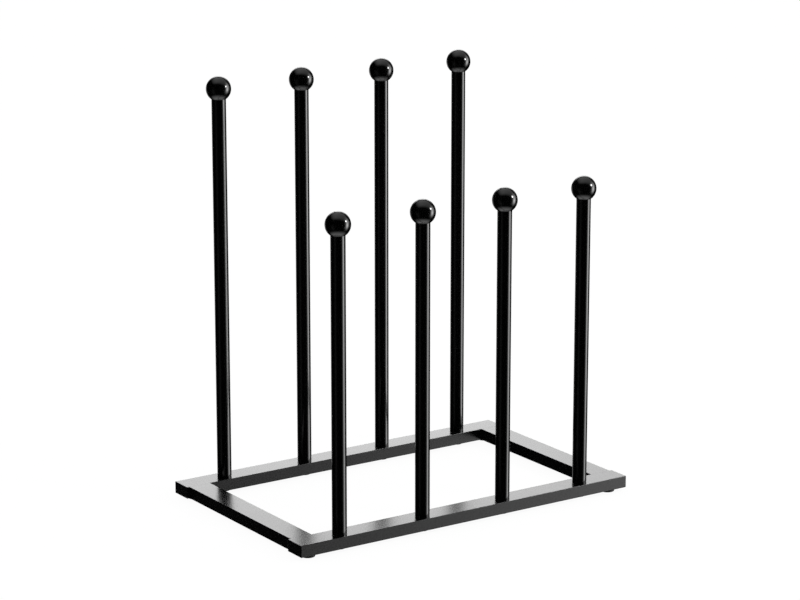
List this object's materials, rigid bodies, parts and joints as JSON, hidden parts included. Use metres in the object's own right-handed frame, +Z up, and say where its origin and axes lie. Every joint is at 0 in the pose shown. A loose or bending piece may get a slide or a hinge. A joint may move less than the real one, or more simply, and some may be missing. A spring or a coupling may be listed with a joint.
{
  "type": "boot rack",
  "caption": "Boot rack with a flat rectangular tube base, a front row of short rods and a back row of tall rods, each topped with a round ball, in gloss black.",
  "frame": {"origin": "on the floor, under the middle of the base", "axes": "+Z up, the row of short rods towards -Y, +X to the right along the long rails when the short rods are in front"},
  "size_m": [0.406, 0.251, 0.445],
  "materials": {
    "base_paint": "high-gloss black powder coat on flat steel tube",
    "rod_paint": "high-gloss black powder coat on round steel tube",
    "ball_gloss": "polished black moulding",
    "cap_plastic": "smooth glossy black moulding",
    "foot_plastic": "smooth black moulding, slightly less glossy than the paint",
    "plug_steel": "plain turned steel, hidden inside the rod",
    "screw_steel": "black zinc plated steel"
  },
  "bodies": {
    "root": {"front_rail": "base_paint", "back_rail": "base_paint", "left_side_rail": "base_paint", "right_side_rail": "base_paint", "front_left_end_cap": "cap_plastic", "front_right_end_cap": "cap_plastic", "back_left_end_cap": "cap_plastic", "back_right_end_cap": "cap_plastic", "front_left_foot": "foot_plastic", "front_right_foot": "foot_plastic", "back_left_foot": "foot_plastic", "back_right_foot": "foot_plastic", "short_rod_1": "rod_paint", "short_rod_2": "rod_paint", "short_rod_3": "rod_paint", "short_rod_4": "rod_paint", "tall_rod_1": "rod_paint", "tall_rod_2": "rod_paint", "tall_rod_3": "rod_paint", "tall_rod_4": "rod_paint", "short_rod_plug_1": "plug_steel", "short_rod_plug_2": "plug_steel", "short_rod_plug_3": "plug_steel", "short_rod_plug_4": "plug_steel", "tall_rod_plug_1": "plug_steel", "tall_rod_plug_2": "plug_steel", "tall_rod_plug_3": "plug_steel", "tall_rod_plug_4": "plug_steel", "short_rod_ball_1": "ball_gloss", "short_rod_ball_2": "ball_gloss", "short_rod_ball_3": "ball_gloss", "short_rod_ball_4": "ball_gloss", "tall_rod_ball_1": "ball_gloss", "tall_rod_ball_2": "ball_gloss", "tall_rod_ball_3": "ball_gloss", "tall_rod_ball_4": "ball_gloss", "front_rod_screws": "screw_steel", "back_rod_screws": "screw_steel"}
  },
  "joints": []
}
